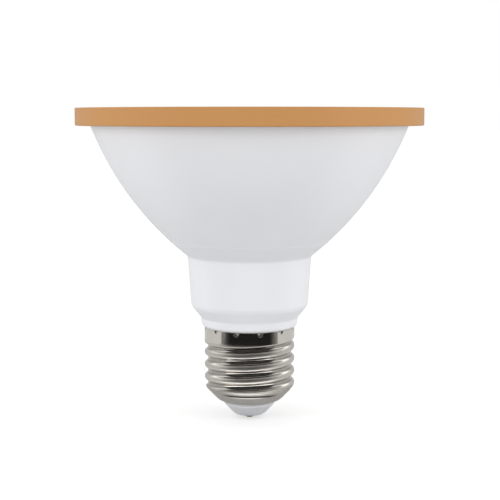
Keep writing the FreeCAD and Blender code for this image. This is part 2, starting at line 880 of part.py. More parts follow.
def transformer_bobbin():
    """Coil former on the centre limb, with two flanges that stand on the board."""
    bottom = core_z + core_limb + bobbin_gap
    top = core_z + core_height - core_limb - bobbin_gap
    bore_x = core_centre_limb / 2 + bobbin_gap
    bore_y = core_depth / 2 + bobbin_gap
    body = centred_block(bore_x + bobbin_wall, bore_y + bobbin_wall, bottom, top)
    body = body.fuse(centred_block(bobbin_side, bobbin_depth / 2, bottom, bottom + bobbin_flange))
    body = body.fuse(centred_block(bobbin_side, bobbin_depth / 2, top - bobbin_flange, top))
    body = body.cut(centred_block(bore_x, bore_y, bottom, top))
    return with_leads(body, bobbin_pin_spots(), board_front_y + bobbin_flange)


def transformer_winding():
    bottom = core_z + core_limb + bobbin_gap + bobbin_flange
    top = core_z + core_height - core_limb - bobbin_gap - bobbin_flange
    inner_x = core_centre_limb / 2 + bobbin_gap + bobbin_wall
    inner_y = core_depth / 2 + bobbin_gap + bobbin_wall
    body = centred_block(inner_x + winding_build, inner_y + winding_build, bottom, top)
    corners = [edge for edge in body.Edges if abs(edge.tangentAt(edge.FirstParameter).z) > 0.9]
    body = body.makeFillet(winding_round, corners)
    return body.cut(centred_block(inner_x, inner_y, bottom, top))


def film_capacitor():
    half = film_width / 2
    far_y = board_front_y + film_depth
    body = block(film_x - half, film_x + half, board_front_y, far_y, film_z, film_z + film_height)
    far = [edge for edge in body.Edges if edge.BoundBox.YMin > board_front_y + film_depth / 2]
    body = body.makeFillet(film_round, far)
    return with_leads(body, film_lead_spots(), board_front_y + film_round)


def line_choke():
    """Drum with its winding between two flanges, standing on the board."""
    far_y = board_front_y + choke_length
    body = rod_along_y(choke_winding_radius, choke_x, choke_z, board_front_y, far_y)
    body = body.fuse(rod_along_y(choke_radius, choke_x, choke_z, board_front_y, board_front_y + choke_flange))
    body = body.fuse(rod_along_y(choke_radius, choke_x, choke_z, far_y - choke_flange, far_y))
    return with_leads(body, choke_lead_spots(), board_front_y + choke_flange)


def fusible_resistor():
    """Capped resistor that lies along the board's tail, on one lead bent square at both ends."""
    y = board_front_y + resistor_radius
    top = resistor_z + resistor_length
    body = disc(resistor_waist_radius, resistor_z, top, resistor_x, y)
    body = body.fuse(disc(resistor_radius, resistor_z, resistor_z + resistor_cap_length, resistor_x, y))
    body = body.fuse(disc(resistor_radius, top - resistor_cap_length, top, resistor_x, y))
    back_y = board_back_y - lead_past_board
    (low_x, low_z), (high_x, high_z) = resistor_lead_spots()
    lead = mitred_tube([
        Vector(low_x, back_y, low_z),
        Vector(low_x, y, low_z),
        Vector(high_x, y, high_z),
        Vector(high_x, back_y, high_z),
    ], lead_radius)
    return body.fuse(lead)


def varistor():
    """Coated disc that stands on edge."""
    y = board_front_y + varistor_radius
    half = varistor_thickness / 2
    body = disc(varistor_radius, varistor_z - half, varistor_z + half, varistor_x, y)
    return with_leads(body, varistor_lead_spots(), y)


def chip(x, z, width, length, depth, leg_pitch, legs_a_side):
    """Surface-mount part on the board's back, with formed legs on two sides."""
    near_y = board_back_y - chip_standoff
    body = block(x - width / 2, x + width / 2, near_y - depth, near_y, z - length / 2, z + length / 2)
    shoulder_y = near_y - depth / 2
    for side in (-1, 1):
        edge = x + side * width / 2
        knee = edge + side * chip_leg_reach / 2
        toe = edge + side * chip_leg_reach
        for index in range(legs_a_side):
            leg_z = z + leg_pitch * (index - (legs_a_side - 1) / 2)
            low = leg_z - chip_leg_width / 2
            high = leg_z + chip_leg_width / 2
            arm_ends = sorted((edge, knee))
            post_ends = sorted((knee - side * chip_leg_thickness, knee))
            foot_ends = sorted((knee - side * chip_leg_thickness, toe))
            foot_y = board_back_y - chip_leg_thickness
            arm = block(arm_ends[0], arm_ends[1], shoulder_y, shoulder_y + chip_leg_thickness, low, high)
            post = block(post_ends[0], post_ends[1], shoulder_y, board_back_y, low, high)
            foot = block(foot_ends[0], foot_ends[1], foot_y, board_back_y, low, high)
            body = body.fuse([arm, post, foot])
    return body.removeSplitter()


def bridge_rectifier():
    return chip(bridge_x, bridge_z, bridge_width, bridge_length, bridge_depth, bridge_leg_pitch, bridge_legs)


def driver_ic():
    return chip(ic_x, ic_z, ic_width, ic_length, ic_depth, ic_leg_pitch, ic_legs)


def output_diode():
    return chip(diode_x, diode_z, diode_width, diode_length, diode_depth, diode_leg_pitch, diode_legs)


def wire(points, radius):
    """Round lead along straight runs, with a short run across each corner."""
    path = [points[0]]
    for before, corner, after in zip(points, points[1:], points[2:]):
        back = before - corner
        ahead = after - corner
        setback = bend_share * min(back.Length, ahead.Length)
        path.append(corner + back.normalize() * setback)
        path.append(corner + ahead.normalize() * setback)
    path.append(points[-1])
    return mitred_tube(path, radius)


def live_wire():
    """From the nail's head up to the front of the board's tail."""
    y = board_front_y + supply_wire_radius
    return wire([
        Vector(0, 0, nail_head_z),
        Vector(0, 0, nail_head_z + live_wire_rise),
        Vector(live_wire_x, y, live_wire_end_z - live_wire_straight),
        Vector(live_wire_x, y, live_wire_end_z),
    ], supply_wire_radius)


def neutral_wire():
    """From the board's back, under the spigot's edge and up its slot, against the shell."""
    y = board_back_y - supply_wire_radius
    slot_y = wire_slot_depth / 2 - spigot_radius
    bottom = spigot_bottom_z - bend_share * (y - slot_y) - supply_wire_radius
    return wire([
        Vector(0, y, neutral_wire_start_z),
        Vector(0, y, bottom),
        Vector(0, slot_y, bottom),
        Vector(0, slot_y, spigot_bottom_z + wire_slot_height - wire_slot_width / 2),
    ], supply_wire_radius)


def led_wire(side):
    """From the board's back, up through cover and platform, onto the plate's pad."""
    x = side * led_wire_x
    y = board_back_y - led_wire_radius
    pad_z = substrate_top_z + led_wire_radius
    return wire([
        Vector(x, y, led_wire_start_z),
        Vector(x, y, led_wire_start_z + led_wire_offset_start),
        Vector(x, led_wire_y, led_wire_start_z + led_wire_offset_end),
        Vector(x, led_wire_y, pad_z),
        Vector(x, led_wire_landing - substrate_side / 2, pad_z),
    ], led_wire_radius)


def cap_insulator():
    """Pale cone between shell and contact; its flange sits on the shell's turned-in mouth."""
    tip_slope = (cap_mouth_radius - insulator_tip_radius) / (cap_mouth_z - insulator_tip_z)
    flange_z = cap_mouth_z + 2 * cap_sheet
    return turned(polyline(
        (nail_radius + insulator_play / 2, insulator_tip_z),
        (insulator_tip_radius, insulator_tip_z),
        (insulator_tip_radius + tip_slope * (cap_mouth_z - insulator_tip_z) - insulator_play, cap_mouth_z),
        (cap_mouth_radius - insulator_play, flange_z),
        (cap_knee_radius - insulator_play - cap_sheet, cap_knee_z + 2 * cap_sheet),
        (cap_knee_radius + cap_sheet, insulator_top_z),
        (nail_radius + insulator_play / 2, insulator_top_z),
        (nail_radius + insulator_play / 2, insulator_tip_z)))


def centre_contact():
    """Domed button with the nail that carries the live lead."""
    return turned(polyline(
        (0, 0),
        (contact_radius / 2, contact_dome / 4),
        (contact_radius, contact_dome),
        (contact_radius, contact_face_z),
        (nail_radius, contact_face_z),
        (nail_radius, nail_head_z),
        (0, nail_head_z),
        (0, 0)))


nodes = {
    "front_ring": front_ring(),
    "lens": lens(),
    "lens_gasket": lens_gasket(),
    "reflector": reflector(),
    "cob_holder": cob_holder(),
    "cob_substrate": cob_substrate(),
    "cob_phosphor": cob_phosphor(),
    "holder_screws": holder_screws(),
    "thermal_pad": thermal_pad(),
    "heat_sink": heat_sink(),
    "housing": housing(),
    "driver_cover": driver_cover(),
    "driver_board": driver_board(),
    "bridge_rectifier": bridge_rectifier(),
    "film_capacitor": film_capacitor(),
    "bulk_capacitor": bulk_capacitor(),
    "output_capacitor": output_capacitor(),
    "transformer_core": transformer_core(),
    "transformer_bobbin": transformer_bobbin(),
    "transformer_winding": transformer_winding(),
    "line_choke": line_choke(),
    "fusible_resistor": fusible_resistor(),
    "varistor": varistor(),
    "driver_ic": driver_ic(),
    "output_diode": output_diode(),
    "live_wire": live_wire(),
    "neutral_wire": neutral_wire(),
    "led_wire_positive": led_wire(1),
    "led_wire_negative": led_wire(-1),
    "cap_shell": cap_shell(),
    "cap_insulator": cap_insulator(),
    "centre_contact": centre_contact(),
}

os.makedirs("parts", exist_ok=True)
for name, shape in nodes.items():
    print(name, "valid" if shape.isValid() else "NOT VALID", len(shape.Solids), round(shape.Volume, 2))
    shape.exportStep("parts/" + name + ".step")
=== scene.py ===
# %% [markdown]
# # A reflector lamp with a light-emitting diode source
# This lesson dresses a finished CAD model of a lamp: a white moulded bowl with a
# tan front ring, a clear lens, a faceted bright reflector and a plated screw base.
# The CAD model is the frame. It says where every piece is, in metres, with the tip
# of the centre contact at the origin and the lamp's axis on Z.

# %% Load the frame
import bpy
import bmesh
import math
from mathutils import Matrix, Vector


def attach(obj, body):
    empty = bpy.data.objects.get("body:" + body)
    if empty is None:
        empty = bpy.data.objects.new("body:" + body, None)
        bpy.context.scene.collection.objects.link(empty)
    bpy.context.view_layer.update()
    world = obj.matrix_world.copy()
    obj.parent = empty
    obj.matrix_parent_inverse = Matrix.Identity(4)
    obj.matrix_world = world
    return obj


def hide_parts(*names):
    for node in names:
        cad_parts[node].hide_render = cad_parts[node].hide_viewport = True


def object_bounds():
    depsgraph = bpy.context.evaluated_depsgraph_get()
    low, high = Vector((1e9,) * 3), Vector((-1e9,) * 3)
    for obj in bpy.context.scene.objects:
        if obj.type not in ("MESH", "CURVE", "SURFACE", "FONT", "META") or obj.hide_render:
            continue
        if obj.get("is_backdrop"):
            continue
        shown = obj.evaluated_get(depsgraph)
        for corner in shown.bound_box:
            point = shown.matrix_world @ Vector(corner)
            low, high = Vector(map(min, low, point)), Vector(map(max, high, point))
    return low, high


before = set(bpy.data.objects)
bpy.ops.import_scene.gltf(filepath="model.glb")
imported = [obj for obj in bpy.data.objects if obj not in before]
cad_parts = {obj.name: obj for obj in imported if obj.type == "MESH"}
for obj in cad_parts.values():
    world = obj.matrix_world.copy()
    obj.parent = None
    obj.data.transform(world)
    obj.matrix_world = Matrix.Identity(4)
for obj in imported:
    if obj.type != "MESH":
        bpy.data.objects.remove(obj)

MM = 0.001
cad_low, cad_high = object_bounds()
print("CAD pieces:", len(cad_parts), "height in mm:", round((cad_high - cad_low).z / MM, 1))

# %% [markdown]
# ## The camera
# A picture taken from close by shows the rings of a lamp as flat ellipses that open
# more the lower they lie. The front ring looks almost straight here, so the camera
# stands level with it, and it looks slightly down to bring the base into the frame.

# %% Set up the camera
CAMERA_BACK = 348.6
CAMERA_HEIGHT = 88.0
AIM_HEIGHT = 49.4
scene = bpy.context.scene


def add_object(name, data):
    """Put data, such as a mesh or a light, into the scene as an object."""
    made = bpy.data.objects.new(name, data)
    scene.collection.objects.link(made)
    return made


def look_at(made, point):
    """Turn a camera or a light, whose own view is along -Z, towards a point."""
    towards = Vector(point) - made.location
    made.rotation_euler = towards.to_track_quat("-Z", "Y").to_euler()


camera_data = bpy.data.cameras.new("camera")
camera_data.lens = 86.9
camera_data.sensor_width = 36.0
camera_data.shift_x = 0.001
camera = add_object("camera", camera_data)
camera.location = (0, -CAMERA_BACK * MM, CAMERA_HEIGHT * MM)
look_at(camera, (0, 0, AIM_HEIGHT * MM))
scene.camera = camera
print("camera tilt in degrees:", round(math.degrees(camera.rotation_euler.x) - 90, 2))

# %% [markdown]
# ## Shader maths in plain Python
# A material is a tree of nodes. Typing `1 - mask * 0.2` is easier to read than three
# nodes and their links, so this class wraps a socket and lets Python's operators add
# the Math nodes. Every other node comes from its `node` method.

# %% A socket with operators
class Socket:
    """One output in a node tree. Operators on it add Math nodes."""

    def __init__(self, tree, output=None):
        self.tree = tree
        self.output = output

    def node(self, kind, settings=None, inputs=None, output=0):
        """Add a node: its settings come first, then the values or links of its sockets."""
        node = self.tree.nodes.new(kind)
        for name, value in (settings or {}).items():
            setattr(node, name, value)
        for name, value in (inputs or {}).items():
            if isinstance(value, Socket):
                self.tree.links.new(value.output, node.inputs[name])
            else:
                node.inputs[name].default_value = value
        return Socket(self.tree, node.outputs[output])

    def maths(self, operation, *values):
        return self.node("ShaderNodeMath", {"operation": operation}, dict(enumerate(values)))

    def __add__(self, other):
        return self.maths("ADD", self, other)

    __radd__ = __add__

    def __sub__(self, other):
        return self.maths("SUBTRACT", self, other)

    def __rsub__(self, other):
        return self.maths("SUBTRACT", other, self)

    def __mul__(self, other):
        return self.maths("MULTIPLY", self, other)

    __rmul__ = __mul__

    def __truediv__(self, other):
        return self.maths("DIVIDE", self, other)

    def __rtruediv__(self, other):
        return self.maths("DIVIDE", other, self)

    def __abs__(self):
        return self.maths("ABSOLUTE", self)

    def square_root(self):
        return self.maths("SQRT", self)

    def step(self, low, high):
        """0 below low, 1 above high, and a smooth rise between them."""
        settings = {"interpolation_type": "SMOOTHSTEP"}
        return self.node("ShaderNodeMapRange", settings, {"Value": self, "From Min": low, "From Max": high})

    def length(self):
        """The length of a vector."""
        return self.node("ShaderNodeVectorMath", {"operation": "LENGTH"}, {0: self}, output=1)

    def axes(self):
        """The three numbers of a vector, as a socket each."""
        split = self.node("ShaderNodeSeparateXYZ", inputs={0: self}).output.node
        return [Socket(self.tree, output) for output in split.outputs]


def srgb(red, green, blue):
    """A colour as a paint program shows it, 0 to 255, as the light values that Blender uses."""
    linear = []
    for value in (red, green, blue):
        share = value / 255
        linear.append(share / 12.92 if share <= 0.04045 else ((share + 0.055) / 1.055) ** 2.4)
    return (*linear, 1.0)


print("tan in light values:", [round(value, 3) for value in srgb(197, 144, 89)])

# %% [markdown]
# ## One recipe for every finish
# Each finish starts from the Principled shader and varies a little over the surface:
# a real moulding or plating is never one flat colour. Noise on Object coordinates
# shifts the colour and the roughness, and a finer noise gives the surface its skin
# through a Bump node. Object coordinates are in metres, so a grain of 0.4 mm is
# noise with a scale of 1 / 0.0004.

# %% The base of all finishes
def finish(name, colour, rough, metal=0.0, fixed=None):
    """A material, its shader, and the place on the piece. `fixed` has more values for the shader."""
    material = bpy.data.materials.new(name)
    material.use_nodes = True
    shader = material.node_tree.nodes["Principled BSDF"]
    all_over = {"Base Color": colour, "Roughness": rough, "Metallic": metal, **(fixed or {})}
    for socket, value in all_over.items():
        shader.inputs[socket].default_value = value
    place = Socket(material.node_tree).node("ShaderNodeTexCoord", output="Object")
    return material, shader, place


def feed(value, shader, socket):
    value.tree.links.new(value.output, shader.inputs[socket])


def noise(place, size, detail=3.0, stretch=None):
    """Noise from 0 to 1 whose grains are about `size` millimetres."""
    if stretch:
        place = place.node("ShaderNodeMapping", inputs={"Vector": place, "Scale": stretch})
    inputs = {"Vector": place, "Scale": 1 / (size * MM), "Detail": detail}
    return place.node("ShaderNodeTexNoise", inputs=inputs)


def blend_colours(mask, low, high):
    settings = {"data_type": "RGBA"}
    inputs = {"Factor": mask, 6: low, 7: high}
    return mask.node("ShaderNodeMix", settings, inputs, output=2)


def bump(height, shader, depth):
    """Raise the surface by `depth` millimetres where height is 1."""
    feed(height.node("ShaderNodeBump", inputs={"Height": height, "Distance": depth * MM}), shader, "Normal")


def scaled(colour, factor):
    return (*[min(1.0, value * factor) for value in colour[:3]], 1.0)


print("noise scale for a grain of 0.4 mm:", round(1 / (0.4 * MM)))

# %% Plastic and metal
def moulded(name, colour, rough=0.4, grain=0.5, depth=0.004, cloud=0.03, fixed=None):
    """Moulded plastic or rubber: faint clouds in the colour and a fine skin."""
    material, shader, place = finish(name, colour, rough, fixed=fixed)
    clouds = noise(place, 14.0)
    skin = noise(place, grain, detail=4.0)
    feed(blend_colours(clouds, scaled(colour, 1 - cloud), scaled(colour, 1 + cloud)), shader, "Base Color")
    feed(rough + (skin - 0.5) * 0.12, shader, "Roughness")
    bump(skin, shader, depth)
    return material


def plated(name, colour, rough=0.2, grain=0.3, depth=0.001):
    """Bare or plated metal: a streaked roughness and a very fine skin."""
    material, shader, place = finish(name, colour, rough, metal=1.0)
    clouds = noise(place, 6.0)
    streaks = noise(place, grain, detail=5.0)
    feed(blend_colours(clouds, scaled(colour, 0.92), scaled(colour, 1.05)), shader, "Base Color")
    feed(rough + (streaks - 0.5) * rough * 0.8, shader, "Roughness")
    bump(streaks, shader, depth)
    return material


print("helpers ready")

# %% [markdown]
# ## The outer finishes
# The bowl is a satin white moulding, the ring is tan paint with a slight sheen, and
# the base is brass under a nickel plating. Masks say where the plating differs: the
# distance to the lamp's axis finds the thread's roots and crests, and the height
# finds the foot. Roots and foot are painted darker, as painted shade: in the roots it
# stands for the shade deep in the thread, and on the foot for the shaded floor under
# the lamp that the foot mirrors. The foot is also rougher, and the crests are rubbed
# matt by lamp holders. The crease is painted almost black, as painted shade.

# %% White, tan and the pale plastic
white = moulded("white_moulding", srgb(233, 234, 237), rough=0.38, grain=0.45, depth=0.003, cloud=0.012)
tan = moulded("tan_paint", srgb(196, 142, 84), rough=0.42, grain=0.16, depth=0.0025, cloud=0.02)
pale = moulded("pale_insulator", srgb(216, 218, 221), rough=0.30, grain=0.8, depth=0.004, cloud=0.03)
print("outer plastics:", white.name, tan.name, pale.name)

# %% Measures that the plating shares with the shell
BARREL_FOOT = 9.7
CREASE_HEIGHT = 8.45
ROOT_RADII = (12.30 * MM, 12.60 * MM)
CREST_RADII = (12.70 * MM, 12.95 * MM)
FOOT_HEIGHTS = (BARREL_FOOT * MM, 11.0 * MM)
ROOT_HEIGHTS = (9.8 * MM, 11.0 * MM)
SKIRT_HEIGHTS = (23.0 * MM, 24.0 * MM)
CREASE_HALVES = (0.16 * MM, 0.44 * MM)
CREASE_FRONT = (-10.5 * MM, -8.5 * MM)
print("the roots are darkest inside a radius in mm of", round(ROOT_RADII[0] / MM, 1))

# %% Nickel plating with painted shade in the roots, on the foot and in the crease
NICKEL = (0.74, 0.705, 0.655, 1.0)
# The grey of the painted shade in the roots and on the foot.
SHADE_GREY = (0.26, 0.25, 0.23, 1.0)
# Near black: the painted shade in the crease.
CREASE_SHADE = (0.03, 0.03, 0.03, 1.0)
nickel, shader, place = finish("nickel_plating", NICKEL, 0.14, metal=1.0)
level = place.node("ShaderNodeVectorMath", {"operation": "MULTIPLY"}, {0: place, 1: (1, 1, 0)})
radius = level.length()
_, along, height = place.axes()
root = (1 - radius.step(*ROOT_RADII)) * height.step(*ROOT_HEIGHTS)
crest = radius.step(*CREST_RADII) * (1 - height.step(*SKIRT_HEIGHTS))
# The foot mask: the foot is rougher, and darkened as painted shade.
shaded_matt_foot = 1 - height.step(*FOOT_HEIGHTS)
crease = 1 - abs(height - CREASE_HEIGHT * MM).step(*CREASE_HALVES)
crease = crease * (1 - along.step(*CREASE_FRONT))
rings = noise(place, 0.25, detail=2.0, stretch=(0.03, 0.03, 1))
marks = noise(place, 1.6, detail=4.0)
# Painted shade: roots and foot darken towards a grey, mottled by noise.
painted_shade = root * (0.5 + marks * 0.5) + shaded_matt_foot * (0.45 + marks * 0.25)
shaded_nickel = blend_colours(painted_shade * 0.75, NICKEL, SHADE_GREY)
# Painted shade: the crease turns near black.
feed(blend_colours(crease, shaded_nickel, CREASE_SHADE), shader, "Base Color")
feed(0.08 + rings * 0.05 + crest * 0.34 + shaded_matt_foot * 0.26, shader, "Roughness")
bump(rings * 0.5 + marks * 0.5, shader, 0.0025)
print("plating:", nickel.name)

# %% [markdown]
# ## Turned pieces
# Most of a lamp is turned about one axis. Its section is drawn as a few corners, some
# of them rounded with a bevel, and `spin` carries the section once round the axis.
# A closed section that stays off the axis gives a ring, and one that starts and ends
# on the axis gives a solid. The Weighted Normal modifier keeps broad faces even next
# to their narrow rounded edges.

# %% Draw a section and spin it
AROUND = 192


def draw(mesh, corners, start=None):
    """Chain of (radius, height, round) corners in millimetres, after `start` if given."""
    chain = [start] if start else []
    rounds = []
    for radius, height, *rest in corners:
        vert = mesh.verts.new((radius * MM, 0, height * MM))
        if chain:
            mesh.edges.new((chain[-1], vert))
        chain.append(vert)
        rounds.append((vert, rest[0] if rest else 0))
    return chain, rounds


def soften(mesh, rounds, segments=4):
    """Round the corners that ask for it, while the section is still a wire."""
    for vert, size in rounds:
        if size:
            bmesh.ops.bevel(
                mesh, geom=[vert], offset=size * MM, segments=segments, profile=0.5,
                affect="VERTICES", material=-1)


def turn(mesh, steps=AROUND):
    bmesh.ops.spin(
        mesh, geom=mesh.verts[:] + mesh.edges[:], cent=(0, 0, 0), axis=(0, 0, 1), dvec=(0, 0, 0),
        angle=math.tau, steps=steps, use_merge=True, use_duplicate=False)
    bmesh.ops.remove_doubles(mesh, verts=mesh.verts[:], dist=0.0005 * MM)
    bmesh.ops.recalc_face_normals(mesh, faces=mesh.faces[:])


print("a turned piece has", AROUND, "steps")

# %% Make the piece and hang it on the root body
def add_mesh(name, mesh, material):
    """Turn a finished bmesh into an object with its material."""
    data = bpy.data.meshes.new(name)
    mesh.to_mesh(data)
    mesh.free()
    data.materials.append(material)
    return add_object(name, data)


def piece(name, mesh, material, slot, *nodes, smooth=35.0, weighted=True):
    """Make the object, hang it on the root body and hide the CAD pieces it stands in for."""
    made = add_mesh(name, mesh, material)
    made.data.shade_smooth()
    made.data.set_sharp_from_angle(angle=math.radians(smooth))
    if weighted:
        even = made.modifiers.new("even_shading", "WEIGHTED_NORMAL")
        even.keep_sharp = True
    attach(made, "root")
    if nodes:
        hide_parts(*nodes)
    print(name, "faces:", len(made.data.polygons))
    return made


def add_wall(made, thickness):
    """Turn a surface into sheet, with its thickness on the inner side."""
    wall = made.modifiers.new("wall", "SOLIDIFY")
    wall.thickness = thickness * MM
    wall.offset = -1.0


def turned(name, corners, material, slot, *nodes, closed=True, steps=AROUND):
    mesh = bmesh.new()
    chain, rounds = draw(mesh, corners)
    if closed:
        mesh.edges.new((chain[-1], chain[0]))
    soften(mesh, rounds)
    turn(mesh, steps)
    return piece(name, mesh, material, slot, *nodes)


print("ready to turn")

# %% [markdown]
# ## The white housing
# One moulding holds everything: the spigot inside the base, the collar, the short
# neck, the bowl and the rim that carries the lens. The bowl's outer line is an arc,
# made by spinning one vertex about the arc's centre. The rest is a chain of corners
# with small roundings, as an injection moulding has them.

# %% Build the housing
ARC_OUT, ARC_UP = -37.19, 116.94
NECK_RADIUS, NECK_TOP = 17.95, 47.87
RIM_UNDERSIDE = 86.3
SHELL_TOP = 27.3
mesh = bmesh.new()
foot = mesh.verts.new((NECK_RADIUS * MM, 0, NECK_TOP * MM))
foot_angle = math.atan2(NECK_TOP - ARC_UP, NECK_RADIUS - ARC_OUT)
arc_radius = math.hypot(NECK_TOP - ARC_UP, NECK_RADIUS - ARC_OUT)
rim_angle = math.asin((RIM_UNDERSIDE - ARC_UP) / arc_radius)
swept = bmesh.ops.spin(
    mesh, geom=[foot], cent=(ARC_OUT * MM, 0, ARC_UP * MM), axis=(0, -1, 0), dvec=(0, 0, 0),
    angle=rim_angle - foot_angle, steps=56, use_merge=False, use_duplicate=False)
rim_vert = [item for item in swept["geom_last"] if isinstance(item, bmesh.types.BMVert)][0]
inside = [
    # the rim, with the ledge for gasket and lens
    (47.4, RIM_UNDERSIDE, 0.2), (47.4, 88.9, 0.3), (46.5, 88.9, 0.25), (46.5, 87.1, 0), (44.3, 87.1, 0.2),
    # down the inside of the bowl
    (43.1, 85.0, 0), (40.1, 77.2, 0), (35.6, 69.2, 0), (30.0, 60.9, 0), (22.9, 52.0, 0),
    # the seat of the driver cover, the bore of the neck and of the spigot
    (17.65, 52.0, 0.2), (17.65, 50.3, 0), (16.15, 50.3, 0.2), (16.15, NECK_TOP, 0),
    (15.2, 34.1, 0.5), (12.35, 30.6, 0.5), (10.2, 29.1, 0.4), (10.2, 12.0, 0.2),
    # up the outside of the spigot to the top of the shell
    (11.6, 12.0, 0.3), (11.6, 25.4, 0), (12.3, 25.4, 0.2), (12.3, SHELL_TOP, 0),
    # the collar's lip, the collar and the chamfer
    (13.3, SHELL_TOP, 0.15), (13.95, 27.9, 0.35), (14.15, 30.0, 0.25), (17.0, 33.5, 1.0)]
chain, rounds = draw(mesh, inside, start=rim_vert)
mesh.edges.new((chain[-1], foot))
rounds.append((foot, 0.5))
soften(mesh, rounds)
turn(mesh)
piece("white_housing", mesh, white, "housing_white", "housing")

# %% [markdown]
# ## The front ring
# A plain round ring with a lip over the lens and a bead that snaps under the
# housing's rim. Its edges are broken by a quarter of a millimetre, which gives the
# thin light and dark lines along its top and bottom.

# %% Build the ring
RING_RADIUS = 49.7
RING_FOOT, RING_TOP = 85.4, 90.4
turned("tan_front_ring", [
    (46.6, RING_FOOT, 0.2), (RING_RADIUS, RING_FOOT, 0.4), (RING_RADIUS, RING_TOP, 0.25),
    (44.0, RING_TOP, 0.3), (44.0, 89.4, 0.15), (47.6, 89.4, 0), (47.6, 86.2, 0), (46.6, 86.2, 0.2)],
    tan, "ring_tan", "front_ring")

# %% [markdown]
# ## The rolled screw shell
# The base is thin sheet, rolled so that inside and outside carry the same thread.
# A tube is turned first, with many rows of vertices, and then each vertex moves
# towards the axis by the depth of the groove at its angle and height. The groove is
# a helix. Its crests and roots are equal round arcs that meet on a short flank, and
# where it ends at the skirt, the last turn first closes and then fades out. Twelve
# V notches below the rim grip the moulding. Solidify turns the surface into sheet.

# %% Measures of the thread
PITCH = 3.629
CREST = 13.15
ARC = 1.06
FLANK = math.radians(58.7)
START_HEIGHT = 6.93
START_ANGLE = 180.0
LAPS = range(-1, 6)
LAST_TURN = 4.4 * 360
FADE_OVER = 90.0
CLOSES_FROM = 1400.0
CLOSES_OVER = 120.0
CLOSES_BY = 0.9

ARC_REACH = ARC * math.sin(FLANK)
ARC_DROP = ARC * (1 - math.cos(FLANK))
FLANK_DROP = (PITCH / 2 - 2 * ARC_REACH) * math.tan(FLANK)
ROOT_CENTRE = ARC_DROP + FLANK_DROP - ARC * math.cos(FLANK)


def held(value):
    """The value, kept between 0 and 1."""
    return min(1.0, max(0.0, value))


def groove(offset):
    """Depth below the crest, at a height `offset` from the middle of the groove."""
    away = abs(offset)
    to_crest = PITCH / 2 - away
    if to_crest <= 0:
        return 0.0
    if to_crest <= ARC_REACH:
        return ARC - math.sqrt(ARC ** 2 - to_crest ** 2)
    if away >= ARC_REACH:
        return ARC_DROP + (to_crest - ARC_REACH) * math.tan(FLANK)
    return ROOT_CENTRE + math.sqrt(ARC ** 2 - away ** 2)


def thread_depth(angle, height):
    deepest = 0.0
    for lap in LAPS:
        travelled = (angle - START_ANGLE) % 360 + 360 * lap
        fade = held((LAST_TURN + FADE_OVER - travelled) / FADE_OVER)
        fade = fade * fade * (3 - 2 * fade)
        offset = height - START_HEIGHT - PITCH * travelled / 360
        if offset > 0:
            offset *= 1 + CLOSES_BY * held((travelled - CLOSES_FROM) / CLOSES_OVER)
        deepest = max(deepest, fade * groove(offset))
    return deepest


print("depth of the thread, mm:", round(groove(0), 3))

# %% Measures of the crease and the notches
CREASE_ANGLE = -98.0
CREASE_HALF_TURN = 44.0
CREASE_FADE = 20.0
CREASE_HALF = 0.55
CREASE_DEEP = 0.30
NOTCHES = 12
FIRST_NOTCH = -106.5
NOTCH_HALF = 0.76
NOTCH_TALL = 1.65
NOTCH_DEEP = 0.60
NOTCH_WALL = 0.44


def crease_depth(angle, height):
    """The thread runs out in the taper, where a short shallow crease is left at the front."""
    along = held((CREASE_HALF_TURN - abs(angle - CREASE_ANGLE)) / CREASE_FADE)
    across = min(1.0, abs(height - CREASE_HEIGHT) / CREASE_HALF)
    return CREASE_DEEP * along * (1 - across ** 2) ** 2


def notch_depth(angle, height):
    """A V with its point down, deepest at the rim, between walls that slope over NOTCH_WALL."""
    apart = 360 / NOTCHES
    turned_by = (angle - FIRST_NOTCH + apart / 2) % apart - apart / 2
    across = abs(math.radians(turned_by)) * CREST
    rise = (height - SHELL_TOP + NOTCH_TALL) / NOTCH_TALL
    return NOTCH_DEEP * rise * held((NOTCH_HALF * rise - across) / NOTCH_WALL)


print("width of a notch at the rim, mm:", NOTCH_HALF * 2)

# %% Build the shell
BARREL_TOP = 24.8
THREAD_ROW, PLAIN_ROW = 0.14, 0.27
SHELL_AROUND = 288
SHEET = 0.28
mesh = bmesh.new()
_, rounds = draw(mesh, [
    (7.15, 5.3, 0), (7.15, 5.0, 0.12), (9.3, 5.72, 0.7), (CREST, BARREL_FOOT, 1.2), (CREST, BARREL_TOP, 0),
    (CREST, SHELL_TOP, 0)])
soften(mesh, rounds, segments=5)
for edge in list(mesh.edges):
    length = edge.calc_length() / MM
    middle = sum(vert.co.z for vert in edge.verts) / 2 / MM
    row = THREAD_ROW if BARREL_FOOT < middle < BARREL_TOP else PLAIN_ROW
    if length > row * 2:
        bmesh.ops.subdivide_edges(mesh, edges=[edge], cuts=int(length / row))
turn(mesh, SHELL_AROUND)
for vert in mesh.verts:
    radius = math.hypot(vert.co.x, vert.co.y) / MM
    angle = math.degrees(math.atan2(vert.co.y, vert.co.x))
    height = vert.co.z / MM
    target = min(radius, CREST - thread_depth(angle, height))
    if height > SHELL_TOP - NOTCH_TALL:
        target -= notch_depth(angle, height)
    else:
        target -= crease_depth(angle, height)
    vert.co.x *= target / radius
    vert.co.y *= target / radius
outward = sum(face.normal.dot(face.calc_center_median().normalized()) for face in mesh.faces)
if outward < 0:
    bmesh.ops.reverse_faces(mesh, faces=mesh.faces[:])
shell = piece("plated_shell", mesh, nickel, "cap_plated", "cap_shell", smooth=60.0, weighted=False)
add_wall(shell, SHEET)

# %% [markdown]
# ## Insulator and centre contact
# A pale cone closes the shell's mouth and keeps the contact away from it. The contact
# is a plated button with a domed face and a small crimp ring where the nail went in.

